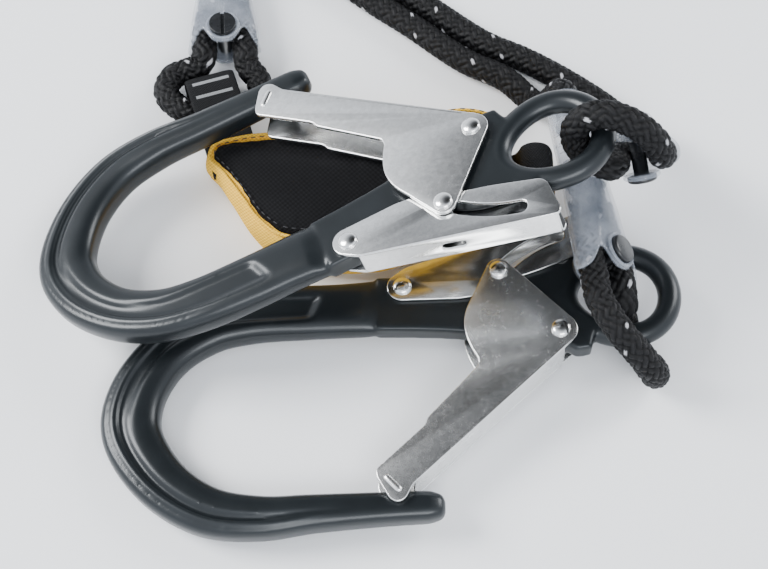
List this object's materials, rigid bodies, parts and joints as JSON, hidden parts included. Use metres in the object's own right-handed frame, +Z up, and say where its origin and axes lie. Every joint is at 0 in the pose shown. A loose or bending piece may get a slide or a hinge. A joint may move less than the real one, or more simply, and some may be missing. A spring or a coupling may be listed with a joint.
{
  "type": "shock absorbing lanyard",
  "caption": "Double-arm rope lanyard: a sewn energy absorber in a soft bag, rope arms with clear sleeves over the splices, and wide-opening double-action scaffold hooks.",
  "frame": {"origin": "middle of the piled assembly in plan, without its free rope arms, at the height of the surface it lies on", "axes": "+Z up; +X from the hooks' bends towards their eyes; +Y from the lower hook towards the rope arms"},
  "size_m": [0.2634, 0.4745, 0.0938],
  "materials": {
    "dark_anodised_forging": "satin dark grey anodised forging",
    "bright_steel": "bright folded and riveted sheet steel",
    "black_rope": "coarse black braid with white tracer yarns",
    "clear_plastic": "clear, slightly hazy tube",
    "black_plastic": "moulded black plastic",
    "printed_label": "pale wrap with grey bars, no lettering",
    "black_fabric": "coarse woven black fabric",
    "yellow_fabric": "orange yellow woven fabric",
    "black_webbing": "ribbed black webbing with grey and yellow stitching"
  },
  "bodies": {
    "harness_side": {"sleeve_p": "clear_plastic", "rope_loop_p": "black_rope", "sewn_splice_p": "black_rope", "sleeve_screw_p": "black_plastic", "barrel_nut_p": "black_plastic", "sleeve_label_p": "printed_label", "sleeve_a": "clear_plastic", "rope_loop_a": "black_rope", "sewn_splice_a": "black_rope", "sleeve_screw_a": "black_plastic", "barrel_nut_a": "black_plastic", "sleeve_label_a": "printed_label", "sleeve_b": "clear_plastic", "rope_loop_b": "black_rope", "sewn_splice_b": "black_rope", "sleeve_screw_b": "black_plastic", "barrel_nut_b": "black_plastic", "sleeve_label_b": "printed_label", "rope_arm_a": "black_rope", "rope_arm_b": "black_rope", "absorber_tray": "yellow_fabric", "absorber_cover": "black_fabric", "tear_webbing_pack": "black_webbing", "webbing_sling": "black_webbing", "webbing_eye": "black_webbing"},
    "hook_a": {"hook_body_a": "dark_anodised_forging", "gate_pivot_rivet_a": "bright_steel", "lever_rivet_a": "bright_steel"},
    "gate_a": {"gate_a": "bright_steel", "gate_pin_a": "bright_steel", "gate_spring_a": "bright_steel"},
    "lever_a": {"lock_lever_a": "bright_steel"},
    "hook_b": {"hook_body_b": "dark_anodised_forging", "gate_pivot_rivet_b": "bright_steel", "lever_rivet_b": "bright_steel"},
    "gate_b": {"gate_b": "bright_steel", "gate_pin_b": "bright_steel", "gate_spring_b": "bright_steel"},
    "lever_b": {"lock_lever_b": "bright_steel"}
  },
  "joints": [
    {"name": "hook_a_lift", "type": "hinge", "parent": "harness_side", "child": "hook_a", "pos_m": [0.09535, -0.0212, 0.07672], "axis": [-0.3481, 0.9188, -0.1861], "range_deg": [0, 25]},
    {"name": "hook_b_swing", "type": "hinge", "parent": "harness_side", "child": "hook_b", "pos_m": [0.11398, -0.07907, 0.01729], "axis": [0, 0, 1], "range_deg": [0, 8]},
    {"name": "gate_a_open", "type": "hinge", "parent": "hook_a", "child": "gate_a", "pos_m": [0.04683, -0.01528, 0.06231], "axis": [-0.2735, 0.0904, 0.9576], "range_deg": [0, 46], "stiffness_Nm_per_rad": 0.12, "springref_deg": -20.05},
    {"name": "lever_a_press", "type": "hinge", "parent": "hook_a", "child": "lever_a", "pos_m": [-0.00183, -0.06016, 0.05265], "axis": [-0.2735, 0.0904, 0.9576], "range_deg": [0, 7]},
    {"name": "gate_b_open", "type": "hinge", "parent": "hook_b", "child": "gate_b", "pos_m": [0.08143, -0.07998, 0.01581], "axis": [0.0454, 0.0007, -0.999], "range_deg": [0, 46], "stiffness_Nm_per_rad": 0.12, "springref_deg": -20.05},
    {"name": "lever_b_press", "type": "hinge", "parent": "hook_b", "child": "lever_b", "pos_m": [0.01815, -0.05847, 0.01295], "axis": [0.0454, 0.0007, -0.999], "range_deg": [0, 7]}
  ],
  "couplings": [
    {"joint": "lever_a_press", "follows": "gate_a_open", "ratio": 0.15217},
    {"joint": "lever_b_press", "follows": "gate_b_open", "ratio": 0.15217}
  ]
}
